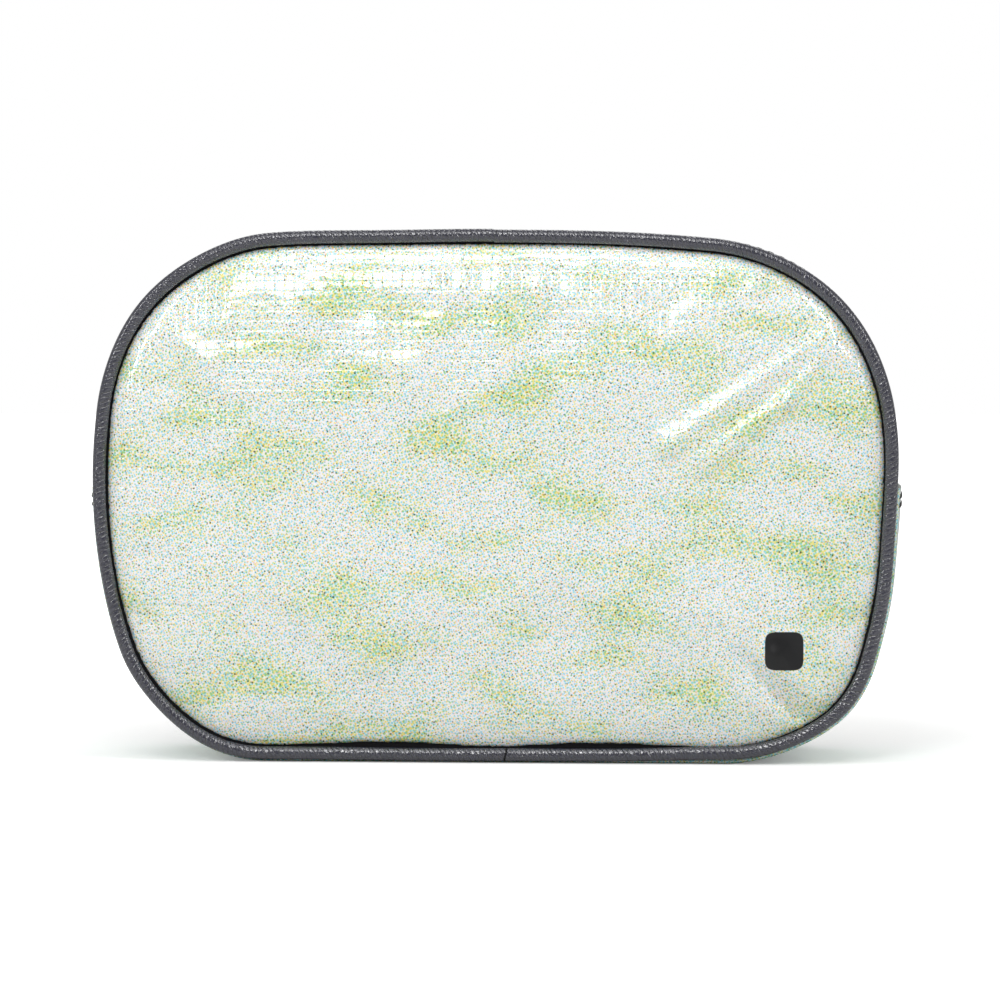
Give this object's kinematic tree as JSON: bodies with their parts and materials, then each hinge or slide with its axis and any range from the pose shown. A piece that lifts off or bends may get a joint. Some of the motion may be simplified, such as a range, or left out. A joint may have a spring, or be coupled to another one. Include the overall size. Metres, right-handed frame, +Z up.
{
  "type": "zip pouch",
  "caption": "Padded zip pouch of glossy banner vinyl with corded piping round two crowned panels and a zip that runs over the top",
  "frame": {"origin": "middle of the flat bottom, on the floor it stands on", "axes": "+Z up, the front panel faces -Y, +X towards the right side seen from the front"},
  "size_m": [0.225, 0.07, 0.1465],
  "materials": {
    "panel_print": "glossy printed banner vinyl, pale green clouds of fine printing dots over a woven scrim",
    "gusset_print": "glossy printed banner vinyl, pale teal with fine printing dots",
    "strip_print": "glossy printed banner vinyl, pale green and straw with fine printing dots",
    "piping": "grained grey leathercloth, semi-gloss",
    "padding": "needled felt wadding",
    "lining": "woven grey fire-resistant cloth",
    "zip_tape": "black woven herringbone tape",
    "zip_teeth": "black moulded polyacetal",
    "slider_metal": "black electrocoated zinc, satin"
  },
  "bodies": {
    "shell": {"back_liner": "lining", "back_panel": "panel_print", "back_piping": "piping", "bottom_gusset": "gusset_print", "bottom_liner": "lining", "bottom_padding": "padding", "front_liner_lower": "lining", "front_panel_lower": "panel_print", "front_piping_lower": "piping", "front_teeth_lower": "zip_teeth", "front_zip_strip_lower": "strip_print", "front_zip_tape_lower": "zip_tape", "rear_teeth": "zip_teeth", "rear_zip_strip": "strip_print", "rear_zip_tape": "zip_tape", "zip_bottom_stop": "zip_teeth", "zip_top_stops": "zip_teeth"},
    "front_flap": {"front_liner_upper": "lining", "front_panel_upper": "panel_print", "front_piping_upper": "piping", "front_teeth_upper": "zip_teeth", "front_zip_strip_upper": "strip_print", "front_zip_tape_upper": "zip_tape"},
    "zip_slider": {"slider_body": "slider_metal"},
    "zip_pull": {"slider_pull": "slider_metal"}
  },
  "joints": [
    {"name": "flap_fold", "type": "hinge", "parent": "shell", "child": "front_flap", "pos_m": [0, -0.035, 0.072], "axis": [1, 0, 0], "range_deg": [0, 40]},
    {"name": "slider_travel", "type": "hinge", "parent": "shell", "child": "zip_slider", "pos_m": [-0.05624, 0, 0.09084], "axis": [0, 1, 0], "range_deg": [0, 75], "deforming": ["rear_teeth", "front_teeth_lower", "front_teeth_upper"]},
    {"name": "pull_swing", "type": "hinge", "parent": "zip_slider", "child": "zip_pull", "pos_m": [-0.11078, 0, 0.09754], "axis": [0, 1, 0], "range_deg": [0, 165]}
  ]
}
